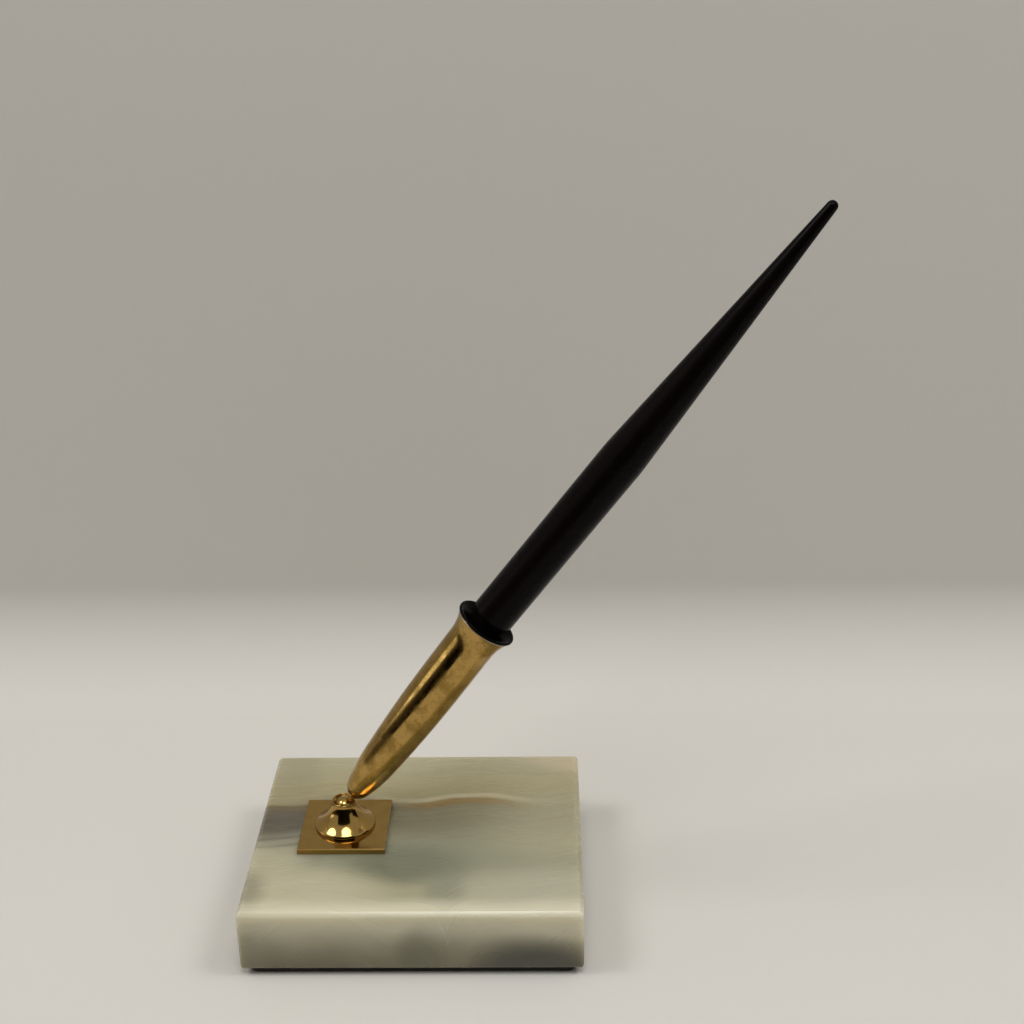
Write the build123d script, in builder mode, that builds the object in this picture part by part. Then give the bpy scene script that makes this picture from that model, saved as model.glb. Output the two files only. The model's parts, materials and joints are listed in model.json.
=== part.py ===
from build123d import *

import os
from math import acos, asin, atan2, cos, degrees, hypot, radians, sin, sqrt

# Desk pen stand: an onyx slab with a gold-plated ball swivel and trumpet that holds a tapered desk pen.
# Sizes are in millimetres and angles in degrees. The origin is the middle of the pad's underside,
# +X points the way the trumpet leans, +Y to the back and +Z up.

# Onyx slab, with its pad underneath
slab_width = 82.5
slab_depth = 69.0
slab_height = 16.8
slab_top_bevel = 1.0
slab_corner_bevel = 0.6
slab_foot_round = 1.8
pad_inset = 1.5
pad_thickness = 1.5
pad_corner = 3.0

# Square plate under the swivel, and the swivel's place to the left of the slab's middle
swivel_offset = 18.8
plate_side = 22.0
plate_thickness = 1.5
plate_bevel = 0.25

# Ball and the bell-shaped socket that it turns in
ball_radius = 2.5
ball_height = 5.4
running_clearance = 0.06
bell_foot_radius = 7.65
bell_foot_edge = 0.3
bell_shoulder_radius = 1.1
bell_shoulder_arc = 58.0
bell_neck_lean = 14.0
bell_neck_wall = 0.49
bell_rim_wall = 0.3
bell_rim_above_ball = 1.9
lip_angle = 62.0
stud_wall = 1.04
stud_clearance = 0.15

# Friction cup and its spring inside the hollow stud
cup_rim_below_ball = 1.1
cup_floor = 2.0
spigot_radius = 1.2
spigot_length = 1.5
spring_wire = 0.7
spring_radius = 1.95
spring_turns = 4
spring_wire_sides = 6
spring_clearance = 0.1
plug_thickness = 2.5
plug_recess = 0.4
plug_slot_width = 0.8
plug_slot_depth = 1.0
thread_clearance = 0.05

# Clamping stack in the counterbore under the slab
counterbore_radius = 11.0
counterbore_depth = 7.0
slab_hole_clearance = 0.3
washer_radius = 9.0
washer_thickness = 1.0
lock_washer_radius = 6.0
lock_washer_thickness = 0.8
lock_washer_split = 1.2
clamp_nut_flats = 11.0
clamp_nut_height = 3.0
stud_tail = 0.7

# Leaning trumpet: distances run along its axis from the ball's centre
trumpet_lean = 35.7
tail_reach = 4.2
mouth_reach = 64.4
tail_flat_radius = 1.4
tail_dome_length = 2.4
tail_wall = 1.7
tail_seat_radius = 2.45
haunch_reach = 16.5
haunch_sweep = 50.0
neck_length = 9.0
flank_sweep = 440.0
flare_length = 7.4
rim_flare = 1.525
shell_wall = 0.6

# Stem that carries the trumpet on the ball
stem_neck_radius = 0.8
stem_flare = 0.6
shank_radius = 1.15
shank_tail = 0.8
stem_washer_radius = 2.2
stem_washer_thickness = 0.4
stem_nut_flats = 4.0
stem_nut_height = 1.8

# Plastic liner with its flared collar
lip_overhang = 0.25
lip_thickness = 0.75
lip_land = 0.4
lip_round = 0.3
liner_clearance = 0.1
liner_wall = 0.96
liner_end_wall = 0.5
liner_floor = 0.8
liner_floor_room = 8.2
liner_floor_slack = 0.5
throat_depth = 3.0
funnel_lean = 25.0
throat_land = 0.5
throat_relief = 0.1

# Desk pen: distances run along its axis from the liner's throat, where the pen is seated
pen_lean = 37.4
barrel_radius = 5.32
barrel_standoff = 2.1
barrel_end_round = 0.4
taper_reach = 56.0
taper_blend = 60.0
tip_reach = 129.4
tip_radius = 1.3
seat_clearance = 0.08
section_step = 0.95
section_taper = 1.0
section_nose_reach = 15.0
section_bead = 0.25
barrel_wall = 1.1
section_spigot_length = 9.0
spigot_shoulder = 0.5

# Nib, feed and ink cartridge
nib_thickness = 0.3
nib_root_reach = 8.0
nib_shoulder_reach = 17.0
nib_tip_reach = 33.0
nib_half_width = 2.15
nib_tip_half_width = 0.3
nib_tip_radius = 1.2
nib_tip_draw = 0.1
nib_slit = 0.16
nib_breather_radius = 0.5
nib_breather_reach = 22.5
feed_radius = 1.85
feed_nose_radius = 0.6
feed_nose_reach = 29.5
feed_top = 5.0
fin_count = 5
fin_pitch = 0.9
fin_gap = 0.4
fin_depth = 0.4
nipple_radius = 1.0
nipple_length = 4.0
cartridge_clearance = 0.3
cartridge_length = 37.0
cartridge_wall = 0.5
cartridge_neck_step = 0.8

# Heights and places that follow from the sizes above
slab_top = pad_thickness + slab_height
plate_top = slab_top + plate_thickness
swivel_x = -swivel_offset
socket_radius = ball_radius + running_clearance
bell_rim_radius = socket_radius + bell_neck_wall
bell_rim_height = ball_height + bell_rim_above_ball
stud_radius = socket_radius + stud_wall
cup_rim = ball_height - cup_rim_below_ball
cup_bottom = ball_height - socket_radius - cup_floor
clamp_top = pad_thickness + counterbore_depth
lock_top = clamp_top - washer_thickness
nut_top = lock_top - lock_washer_thickness
stud_bottom = nut_top - clamp_nut_height - stud_tail
plug_bottom = stud_bottom + plug_recess
plug_top = plug_bottom + plug_thickness
spring_top = plate_top + cup_bottom - spring_clearance
shank_hole_radius = shank_radius + thread_clearance
tail_floor = tail_reach + tail_wall
nut_seat = tail_floor + stem_washer_thickness
shank_end = nut_seat + stem_nut_height + shank_tail
shell_end = mouth_reach - lip_thickness
throat_reach = mouth_reach - throat_depth
barrel_end = throat_depth + barrel_standoff
section_top_radius = barrel_radius - section_step
section_nose_radius = section_top_radius - section_taper
section_slope = section_taper / (barrel_end + section_nose_reach)
section_spigot_radius = barrel_radius - barrel_wall - thread_clearance
spigot_top = barrel_end + section_spigot_length
throat_radius = section_nose_radius + section_slope * section_nose_reach + seat_clearance
liner_bore_radius = throat_radius + throat_relief
liner_radius = liner_bore_radius + liner_wall
liner_floor_reach = throat_reach - nib_tip_reach - liner_floor_room
belly_radius = liner_radius + liner_clearance + shell_wall
rim_radius = belly_radius + rim_flare
lip_radius = rim_radius + lip_overhang
dome_reach = tail_reach + tail_dome_length
neck_reach = mouth_reach - flare_length
belly_reach = neck_reach - neck_length
flank_turn = asin((belly_reach - haunch_reach) / flank_sweep)
haunch_centre = haunch_reach + haunch_sweep * sin(flank_turn)
nib_radius = feed_radius + thread_clearance + nib_thickness
section_bore_radius = nib_radius + thread_clearance
barrel_bore_radius = section_spigot_radius - spigot_shoulder
cartridge_radius = barrel_bore_radius - cartridge_clearance
cartridge_neck_radius = cartridge_radius - cartridge_neck_step
neck_bottom = feed_top + thread_clearance
cartridge_bottom = spigot_top + thread_clearance
cartridge_top = cartridge_bottom + cartridge_length


def leaning_plane(origin, lean):
    """A plane on the stand's mid-plane whose Y axis leans to the right by the angle."""
    return Plane(origin, x_dir=(cos(radians(lean)), 0, -sin(radians(lean))), z_dir=(0, -1, 0))


def axis_of(plane):
    """The line that a profile drawn on such a plane turns about."""
    return Axis(plane.origin, plane.y_dir)


def square_to(plane, reach):
    """A plane square to that line, a distance along it."""
    return Plane(plane.from_local_coords((0, reach)), x_dir=plane.x_dir, z_dir=plane.y_dir)


swivel_plane = leaning_plane((swivel_x, 0, plate_top), 0)
trumpet_plane = leaning_plane((swivel_x, 0, plate_top + ball_height), trumpet_lean)
pen_plane = leaning_plane(trumpet_plane.from_local_coords((0, throat_reach)), pen_lean)


def ring(plane, outer, inner, thickness):
    """Makes a flat ring that stands on a plane, round its origin."""
    with BuildSketch(plane) as flat:
        Circle(outer)
        Circle(inner, mode=Mode.SUBTRACT)
    extrude(flat.sketch, amount=thickness)


def hex_nut(plane, flats, bore, height):
    """Makes a hexagon nut that stands on a plane, with its corners bevelled at both ends."""
    corner = flats / sqrt(3)
    drop = (corner - flats / 2) / sqrt(3)
    with BuildSketch(plane) as hexagon:
        RegularPolygon(flats / 2, 6, major_radius=False)
        Circle(bore, mode=Mode.SUBTRACT)
    extrude(hexagon.sketch, amount=height)
    with BuildSketch(Plane(plane.origin, x_dir=plane.x_dir, z_dir=-plane.y_dir)) as bevels:
        with BuildLine():
            Polyline(
                (0, 0), (flats / 2, 0), (corner, drop), (corner, height - drop),
                (flats / 2, height), (0, height), close=True,
            )
        make_face()
    revolve(bevels.sketch, axis=Axis(plane.origin, plane.z_dir), mode=Mode.INTERSECT)


# Onyx slab, drilled for the stud and counterbored from below for its nut
with BuildPart() as onyx_base:
    with BuildSketch():
        outline = Rectangle(slab_width, slab_depth)
        chamfer(outline.vertices(), slab_corner_bevel)
    extrude(amount=slab_top)
    for side_plane, side_width in ((Plane.XZ, slab_width), (Plane.YZ, slab_depth)):
        with BuildSketch(side_plane):
            with Locations((0, pad_thickness)):
                side = Rectangle(side_width, slab_height, align=(Align.CENTER, Align.MIN))
            chamfer(side.vertices().group_by(Axis.Y)[-1], slab_top_bevel)
            fillet(side.vertices().group_by(Axis.Y)[0], slab_foot_round)
        extrude(amount=slab_width + slab_depth, both=True, mode=Mode.INTERSECT)
    with Locations(Plane((swivel_x, 0, pad_thickness), z_dir=(0, 0, -1))):
        CounterBoreHole(stud_radius + slab_hole_clearance, counterbore_radius, counterbore_depth)

# Felt pad that hides the counterbore and keeps the stone off the desk
with BuildPart() as felt_pad:
    with BuildSketch():
        RectangleRounded(slab_width - 2 * pad_inset, slab_depth - 2 * pad_inset, pad_corner)
    extrude(amount=pad_thickness)

# Square plate with a bevelled upper edge
with BuildPart() as square_plate:
    with BuildSketch(Plane.XY.offset(slab_top)):
        with Locations((swivel_x, 0)):
            Rectangle(plate_side, plate_side)
            Circle(stud_radius + stud_clearance, mode=Mode.SUBTRACT)
    extrude(amount=plate_thickness)
    upper_edges = square_plate.faces().sort_by(Axis.Z)[-1].outer_wire().edges()
    chamfer(upper_edges, plate_bevel)

# Bell socket: a rounded foot, a hollow neck, a rim that holds the ball down, and the hollow stud below
with BuildPart() as bell_socket:
    with BuildSketch(swivel_plane):
        with BuildLine():
            rim_shoulder = bell_rim_height - bell_rim_wall / 2
            bore_mouth = (bell_rim_radius - bell_rim_wall, rim_shoulder)
            lip_edge = (
                socket_radius * sin(radians(lip_angle)),
                ball_height + socket_radius * cos(radians(lip_angle)),
            )
            lip_middle = (
                socket_radius * cos(radians((90 - lip_angle) / 2)),
                ball_height + socket_radius * sin(radians((90 - lip_angle) / 2)),
            )
            stud_end = stud_bottom - plate_top
            foot = Polyline(
                (socket_radius, ball_height), (socket_radius, stud_end), (stud_radius, stud_end),
                (stud_radius, 0), (bell_foot_radius, 0), (bell_foot_radius, bell_foot_edge),
            )
            shoulder = JernArc(foot @ 1, (0, 1), bell_shoulder_radius, bell_shoulder_arc)
            shoulder_top = bell_foot_radius - bell_shoulder_radius * (1 - cos(radians(bell_shoulder_arc)))
            neck_spread = cos(radians(bell_neck_lean)) - cos(radians(bell_shoulder_arc))
            sweep_radius = (shoulder_top - bell_rim_radius) / neck_spread
            neck = JernArc(shoulder @ 1, shoulder % 1, sweep_radius, bell_neck_lean - bell_shoulder_arc)
            Line(neck @ 1, (bell_rim_radius, rim_shoulder))
            ThreePointArc(
                (bell_rim_radius, rim_shoulder),
                (bell_rim_radius - bell_rim_wall / 2, bell_rim_height),
                bore_mouth,
            )
            Line(bore_mouth, lip_edge)
            ThreePointArc(lip_edge, lip_middle, (socket_radius, ball_height))
        make_face()
    revolve(axis=axis_of(swivel_plane))

# Friction cup that the spring presses up against the ball
with BuildPart() as friction_cup:
    with BuildSketch(swivel_plane):
        with BuildLine():
            cup_radius = socket_radius - running_clearance
            seat_edge = (sqrt(socket_radius**2 - cup_rim_below_ball**2), cup_rim)
            seat_half = acos(cup_rim_below_ball / socket_radius) / 2
            seat_middle = (socket_radius * sin(seat_half), ball_height - socket_radius * cos(seat_half))
            ThreePointArc((0, ball_height - socket_radius), seat_middle, seat_edge)
            Polyline(
                seat_edge, (cup_radius, cup_rim), (cup_radius, cup_bottom), (spigot_radius, cup_bottom),
                (spigot_radius, cup_bottom - spigot_length), (0, cup_bottom - spigot_length),
                (0, ball_height - socket_radius),
            )
        make_face()
    revolve(axis=axis_of(swivel_plane))

# Compression spring between the plug and the cup
with BuildPart() as friction_spring:
    spring_rise = spring_top - plug_top - spring_wire
    with BuildLine() as spring_path:
        Helix(
            spring_rise / spring_turns, spring_rise, spring_radius,
            center=(swivel_x, 0, plug_top + spring_wire / 2),
        )
    with BuildSketch(Plane(spring_path.line @ 0, z_dir=spring_path.line % 0)):
        RegularPolygon(spring_wire / 2, spring_wire_sides)
    sweep(path=spring_path.line, is_frenet=True)

# Slotted plug that closes the stud and loads the spring
with BuildPart() as spring_plug:
    with BuildSketch(Plane((swivel_x, 0, plug_bottom))):
        Circle(socket_radius - thread_clearance)
    extrude(amount=plug_thickness)
    with BuildSketch(Plane((swivel_x, 0, plug_bottom))):
        Rectangle(2 * socket_radius, plug_slot_width)
    extrude(amount=plug_slot_depth, mode=Mode.SUBTRACT)

# Clamping washer, split lock washer and nut on the stud, up in the counterbore
with BuildPart() as clamp_washer:
    ring(Plane((swivel_x, 0, lock_top)), washer_radius, stud_radius + stud_clearance, washer_thickness)

with BuildPart() as lock_washer:
    lock_plane = Plane((swivel_x, 0, nut_top))
    ring(lock_plane, lock_washer_radius, stud_radius + stud_clearance, lock_washer_thickness)
    with BuildSketch(lock_plane):
        with Locations((lock_washer_radius, 0)):
            Rectangle(2 * lock_washer_radius, lock_washer_split)
    extrude(amount=lock_washer_thickness, mode=Mode.SUBTRACT)

with BuildPart() as clamp_nut:
    nut_plane = Plane((swivel_x, 0, nut_top - clamp_nut_height))
    hex_nut(nut_plane, clamp_nut_flats, stud_radius + thread_clearance, clamp_nut_height)

# Ball stem: the ball, a slim neck, a flare that seats on the trumpet's tail, and a shank inside it
with BuildPart() as ball_stem:
    with BuildSketch(trumpet_plane):
        with BuildLine():
            neck_foot = (stem_neck_radius, sqrt(ball_radius**2 - stem_neck_radius**2))
            flare_foot = (stem_neck_radius, tail_reach - stem_flare)
            flare_edge = (stem_neck_radius + stem_flare, tail_reach)
            ThreePointArc((0, -ball_radius), (ball_radius, 0), neck_foot)
            Line(neck_foot, flare_foot)
            JernArc(flare_foot, (0, 1), stem_flare, -90)
            Polyline(
                flare_edge, (shank_radius, tail_reach), (shank_radius, shank_end), (0, shank_end),
                (0, -ball_radius),
            )
        make_face()
    revolve(axis=axis_of(trumpet_plane))

# Washer and nut that hold the trumpet on the stem
with BuildPart() as stem_washer:
    tail_plane = square_to(trumpet_plane, tail_floor)
    ring(tail_plane, stem_washer_radius, shank_hole_radius, stem_washer_thickness)

with BuildPart() as stem_nut:
    hex_nut(square_to(trumpet_plane, nut_seat), stem_nut_flats, shank_hole_radius, stem_nut_height)


def trumpet_side(inset, low_end):
    """Draws the trumpet's side from a low end up to its mouth, set in from the outside by an amount."""
    belly = (belly_radius - inset, belly_reach)
    haunch_turn = asin((haunch_centre - low_end) / (haunch_sweep - inset)) - flank_turn
    flank = JernArc(belly, (0, -1), flank_sweep - inset, -degrees(flank_turn))
    haunch = JernArc(flank @ 1, flank % 1, haunch_sweep - inset, -degrees(haunch_turn))
    straight = Line(belly, (belly_radius - inset, neck_reach))
    flare = TangentArc(straight @ 1, (rim_radius - inset, shell_end), tangent=straight % 1)
    return haunch, flare


# Trumpet: a spun shell with a domed tail, a full middle and a flared mouth
with BuildPart() as trumpet_shell:
    with BuildSketch(trumpet_plane):
        with BuildLine():
            outer_haunch, outer_flare = trumpet_side(0, dome_reach)
            inner_haunch, inner_flare = trumpet_side(shell_wall, shank_end)
            dome = TangentArc(outer_haunch @ 1, (tail_flat_radius, tail_reach), tangent=outer_haunch % 1)
            Polyline(
                dome @ 1, (shank_hole_radius, tail_reach), (shank_hole_radius, tail_floor),
                (tail_seat_radius, tail_floor), inner_haunch @ 1,
            )
            Line(inner_flare @ 1, outer_flare @ 1)
        make_face()
    revolve(axis=axis_of(trumpet_plane))

# Liner: a closed tube with a flared collar, whose throat seats the pen
with BuildPart() as trumpet_liner:
    with BuildSketch(trumpet_plane):
        with BuildLine():
            flare_top = (rim_radius - shell_wall - liner_clearance, shell_end)
            wall_sweep = flank_sweep - shell_wall
            wall_drop = wall_sweep - sqrt(wall_sweep**2 - (belly_reach - liner_floor_reach) ** 2)
            liner_floor_radius = belly_radius - shell_wall - wall_drop - liner_floor_slack
            outside = Polyline(
                (0, liner_floor_reach), (liner_floor_radius, liner_floor_reach),
                (liner_radius, belly_reach), (liner_radius, neck_reach),
            )
            flare = TangentArc(outside @ 1, flare_top, tangent=(0, 1))
            land = (lip_radius - lip_land, mouth_reach)
            Polyline(flare @ 1, (lip_radius, shell_end), (lip_radius, mouth_reach), land)
            funnel_start = (sin(radians(funnel_lean)), cos(radians(funnel_lean)))
            TangentArc((throat_radius, throat_reach), land, tangent=funnel_start)
            Polyline(
                (throat_radius, throat_reach), (throat_radius, throat_reach - throat_land),
                (liner_bore_radius, throat_reach - 2 * throat_land), (liner_bore_radius, belly_reach),
                (liner_floor_radius - liner_end_wall, liner_floor_reach + liner_floor),
                (0, liner_floor_reach + liner_floor), (0, liner_floor_reach),
            )
        make_face()
    revolve(axis=axis_of(trumpet_plane))
    lip_edges = trumpet_liner.edges().filter_by(GeomType.CIRCLE)
    fillet([edge for edge in lip_edges if abs(edge.radius - lip_radius) < lip_round], lip_round)

# Pen barrel: a plain cylinder that tapers to a rounded tip, bored for the section and the cartridge
with BuildPart() as pen_barrel:
    with BuildSketch(pen_plane):
        with BuildLine():
            tip_centre = tip_reach - tip_radius
            taper_length = tip_centre - taper_reach
            taper = atan2(barrel_radius, taper_length) - asin(tip_radius / hypot(barrel_radius, taper_length))
            tip_edge = (tip_radius * cos(taper), tip_centre + tip_radius * sin(taper))
            tip_middle = (
                tip_radius * cos((taper + radians(90)) / 2),
                tip_centre + tip_radius * sin((taper + radians(90)) / 2),
            )
            bore_top = cartridge_top + cartridge_clearance
            socket_bottom_radius = section_spigot_radius + thread_clearance
            socket_top = spigot_top + thread_clearance
            FilletPolyline(
                (socket_bottom_radius, barrel_end), (barrel_radius, barrel_end),
                (barrel_radius, taper_reach), tip_edge, radius=(barrel_end_round, taper_blend),
            )
            ThreePointArc(tip_edge, tip_middle, (0, tip_reach))
            Polyline(
                (0, tip_reach), (0, bore_top), (barrel_bore_radius, bore_top),
                (barrel_bore_radius, socket_top), (socket_bottom_radius, socket_top),
                (socket_bottom_radius, barrel_end),
            )
        make_face()
    revolve(axis=axis_of(pen_plane))

# Section: the tapered grip below the barrel, with a spigot that screws into it
with BuildPart() as pen_section:
    with BuildSketch(pen_plane):
        with BuildLine():
            bead_reach = section_nose_reach - 2 * section_bead
            socket_radius_top = cartridge_neck_radius + thread_clearance
            nose = (section_nose_radius, -bead_reach)
            nose_end = (section_nose_radius, -section_nose_reach)
            Polyline(
                nose_end, (section_bore_radius, -section_nose_reach), (section_bore_radius, feed_top),
                (socket_radius_top, feed_top), (socket_radius_top, spigot_top),
                (section_spigot_radius, spigot_top), (section_spigot_radius, barrel_end),
                (section_top_radius, barrel_end), nose,
            )
            ThreePointArc(nose, (section_nose_radius + section_bead, -bead_reach - section_bead), nose_end)
        make_face()
    revolve(axis=axis_of(pen_plane))

# Feed: a finned plug under the nib, with the nipple that opens the cartridge
with BuildPart() as pen_feed:
    with BuildSketch(pen_plane):
        with BuildLine():
            Polyline(
                (0, -feed_nose_reach), (feed_nose_radius, -feed_nose_reach),
                (feed_radius, -nib_shoulder_reach), (feed_radius, feed_top), (nipple_radius, feed_top),
                (nipple_radius, feed_top + nipple_length), (0, feed_top + nipple_length), close=True,
            )
        make_face()
    revolve(axis=axis_of(pen_plane))
    feed_slope = (feed_radius - feed_nose_radius) / (feed_nose_reach - nib_shoulder_reach)
    for fin in range(fin_count):
        fin_reach = nib_shoulder_reach + (fin + 1) * fin_pitch
        root_radius = feed_radius - feed_slope * (fin_reach - nib_shoulder_reach) - fin_depth
        with BuildSketch(square_to(pen_plane, -fin_reach)):
            Circle(2 * feed_radius)
            Circle(root_radius, mode=Mode.SUBTRACT)
        extrude(amount=fin_gap, mode=Mode.SUBTRACT)

# Nib: a slit, tapering shell that lies on the feed and narrows to the writing point
with BuildPart() as pen_nib:
    with BuildSketch(pen_plane):
        with BuildLine():
            Polyline(
                (nib_radius - nib_thickness, -nib_root_reach), (nib_radius, -nib_root_reach),
                (nib_radius, -nib_shoulder_reach), (nib_tip_radius, -nib_tip_reach),
                (nib_tip_radius - nib_thickness, -nib_tip_reach),
                (nib_radius - nib_thickness, -nib_shoulder_reach), close=True,
            )
        make_face()
    revolve(axis=axis_of(pen_plane))
    outline_plane = Plane(pen_plane.origin, x_dir=pen_plane.z_dir, z_dir=-pen_plane.x_dir)
    with BuildSketch(outline_plane):
        with BuildLine():
            right_edge = Polyline(
                (0, -nib_root_reach), (nib_half_width, -nib_root_reach),
                (nib_half_width, -nib_shoulder_reach),
            )
            cheek = Spline(
                right_edge @ 1, (nib_tip_half_width, -nib_tip_reach), tangents=((0, -1), (-nib_tip_draw, -1)),
            )
            Polyline(cheek @ 1, (0, -nib_tip_reach), (0, -nib_root_reach))
            mirror(about=Plane.YZ)
        make_face()
        with Locations((0, -nib_breather_reach)):
            Circle(nib_breather_radius, mode=Mode.SUBTRACT)
        with Locations((0, -(nib_breather_reach + nib_tip_reach) / 2)):
            Rectangle(nib_slit, nib_tip_reach - nib_breather_reach, mode=Mode.SUBTRACT)
    extrude(amount=2 * nib_radius, mode=Mode.INTERSECT)

# Ink cartridge pushed onto the feed's nipple, inside the barrel
with BuildPart() as ink_cartridge:
    with BuildSketch(pen_plane):
        with BuildLine():
            mouth_radius = nipple_radius + thread_clearance
            ink_radius = cartridge_radius - cartridge_wall
            Polyline(
                (mouth_radius, neck_bottom), (cartridge_neck_radius, neck_bottom),
                (cartridge_neck_radius, cartridge_bottom), (cartridge_radius, cartridge_bottom),
                (cartridge_radius, cartridge_top), (0, cartridge_top), (0, cartridge_top - cartridge_wall),
                (ink_radius, cartridge_top - cartridge_wall), (ink_radius, cartridge_bottom + cartridge_wall),
                (mouth_radius, cartridge_bottom + cartridge_wall), close=True,
            )
        make_face()
    revolve(axis=axis_of(pen_plane))

pieces = {
    "onyx_base": onyx_base,
    "felt_pad": felt_pad,
    "square_plate": square_plate,
    "bell_socket": bell_socket,
    "friction_cup": friction_cup,
    "friction_spring": friction_spring,
    "spring_plug": spring_plug,
    "clamp_washer": clamp_washer,
    "lock_washer": lock_washer,
    "clamp_nut": clamp_nut,
    "ball_stem": ball_stem,
    "stem_washer": stem_washer,
    "stem_nut": stem_nut,
    "trumpet_shell": trumpet_shell,
    "trumpet_liner": trumpet_liner,
    "pen_barrel": pen_barrel,
    "pen_section": pen_section,
    "pen_feed": pen_feed,
    "pen_nib": pen_nib,
    "ink_cartridge": ink_cartridge,
}
os.makedirs("parts", exist_ok=True)
for name, piece in pieces.items():
    piece.part.label = name
    export_step(piece.part, f"parts/{name}.step")
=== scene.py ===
"""Desk pen stand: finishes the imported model's pieces in their real materials and sets them on a plain stage.

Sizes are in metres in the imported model's own frame: +X the way the trumpet leans, +Y to the back, +Z up.
"""

import json
import math

import bmesh
import bpy
from bpy.props import FloatProperty, FloatVectorProperty, IntProperty, PointerProperty
from mathutils import Matrix, Vector, noise


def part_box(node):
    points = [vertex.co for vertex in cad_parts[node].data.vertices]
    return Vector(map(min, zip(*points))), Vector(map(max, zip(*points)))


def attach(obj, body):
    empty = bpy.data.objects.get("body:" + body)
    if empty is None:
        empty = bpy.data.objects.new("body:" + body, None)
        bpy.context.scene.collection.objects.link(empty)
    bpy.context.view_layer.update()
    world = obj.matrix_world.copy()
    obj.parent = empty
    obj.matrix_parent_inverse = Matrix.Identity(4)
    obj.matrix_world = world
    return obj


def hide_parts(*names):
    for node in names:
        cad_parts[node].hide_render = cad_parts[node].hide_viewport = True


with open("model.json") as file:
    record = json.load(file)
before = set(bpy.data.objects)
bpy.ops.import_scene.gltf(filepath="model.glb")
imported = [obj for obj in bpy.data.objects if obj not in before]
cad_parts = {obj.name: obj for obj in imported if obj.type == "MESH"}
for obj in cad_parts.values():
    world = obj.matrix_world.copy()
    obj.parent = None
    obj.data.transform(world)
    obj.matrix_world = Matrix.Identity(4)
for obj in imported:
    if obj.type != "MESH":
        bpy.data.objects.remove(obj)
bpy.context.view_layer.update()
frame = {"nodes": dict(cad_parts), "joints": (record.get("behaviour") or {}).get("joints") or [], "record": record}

bl_info = {
    "name": "Desk Pen Stand",
    "version": (1, 0, 0),
    "blender": (4, 5, 0),
    "location": "3D View > Sidebar > Pen Stand",
    "description": "Finishes an onyx desk pen stand with a gold-plated swivel and trumpet",
    "category": "Object",
}

MM = 0.001
PER_METRE = 1000.0
MERGE = 1e-7  # corners of loose triangles that are closer than this are one point
ON_PLANE = 1e-6  # a point this close to a plane or an edge lies on it
TURNED_ANGLE = 32  # degrees between faces up to which a turned piece is shaded smooth
SLAB_ANGLE = 30
FELT_ANGLE = 50
HOLE_FACES = 96

JOINTS = {joint["name"]: joint for joint in frame["joints"]}
BALL = Vector(JOINTS["holder_tilt"]["pos_m"])
PEN_AXIS = Vector(JOINTS["pen_lift"]["axis"]).normalized()
UPRIGHT = Vector((0, 0, 1))


def linear(code):
    """An sRGB hex colour as linear red, green and blue."""
    parts = [int(code[i:i + 2], 16) / 255 for i in (1, 3, 5)]
    return tuple(p / 12.92 if p <= 0.04045 else ((p + 0.055) / 1.055) ** 2.4 for p in parts)


def opaque(colour):
    """A linear colour with full alpha, as colour sockets take it."""
    return (*colour[:3], 1.0)


def colour_property(label, text, code):
    """A colour that the user can change, given as its sRGB hex value."""
    return FloatVectorProperty(
        name=label, description=text, subtype="COLOR", size=3, min=0, max=1, default=linear(code)
    )


def length_property(label, text, millimetres):
    """A length that the user can change, given in millimetres."""
    return FloatProperty(
        name=label, description=text, subtype="DISTANCE", unit="LENGTH", default=millimetres * MM, precision=5
    )


class PenStandSizes(bpy.types.PropertyGroup):
    """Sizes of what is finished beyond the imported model"""

    top_bevel: length_property("Top bevel", "Flat bevel round the slab's polished top", 1.0)
    foot_round: length_property("Foot round", "Round along the slab's lower edges", 1.8)
    corner_bevel: length_property("Corner bevel", "Flat on each of the slab's upright corners", 0.6)
    arris: length_property("Arris", "Softening that polishing leaves on the slab's sharp edges", 0.16)
    counterbore: length_property("Counterbore", "Radius of the recess under the slab for the clamp nut", 11.0)
    stud_hole: length_property("Stud hole", "Radius of the hole through the slab for the swivel's stud", 3.9)
    rim_round: length_property("Rim round", "Rolled edge of the trumpet's mouth", 0.35)
    felt_corner: length_property("Felt corner", "Round on the pad's corners", 3.0)
    felt_edge: length_property("Felt edge", "Round on the pad's cut edges", 0.3)
    felt_fray: length_property("Felt fray", "How far the pad's cut edge wanders", 0.12)
    trumpet_lean: FloatProperty(
        name="Trumpet lean", description="Lean of the trumpet from upright at rest",
        subtype="ANGLE", unit="ROTATION", default=math.radians(35.7)
    )
    turning_steps: IntProperty(
        name="Turning steps", description="Faces round each turned piece", default=128, min=24, max=256
    )


class PenStandFinishes(bpy.types.PropertyGroup):
    """Colours of the finishes"""

    onyx_cream: colour_property("Onyx cream", "Palest layers of the stone", "#B8AE8D")
    onyx_amber: colour_property("Onyx amber", "Iron-stained vein", "#887040")
    gold: colour_property("Gold", "Clean gold plate over brass", "#B69455")
    tarnish: colour_property("Tarnish", "Where the plate has dulled and worn", "#95773C")
    barrel: colour_property("Barrel", "Pen barrel plastic", "#070404")
    liner: colour_property("Liner", "Liner plastic", "#040404")
    felt: colour_property("Felt", "Pressed felt pad", "#0B0B0B")


class PenStandStage(bpy.types.PropertyGroup):
    """Floor, light and camera"""

    floor: colour_property("Floor", "Pale seamless floor and backdrop", "#CFCCC5")
    surround: colour_property("Surround", "Soft light of the room", "#B2B0AD")
    key: FloatProperty(name="Key", description="Each overhead softbox", subtype="POWER", unit="POWER", default=4.1)
    strip: FloatProperty(name="Strip", description="Low strip light", subtype="POWER", unit="POWER", default=0.8)
    lens: FloatProperty(name="Lens", description="Focal length on a 36 mm sensor", default=54.40, min=10)


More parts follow.
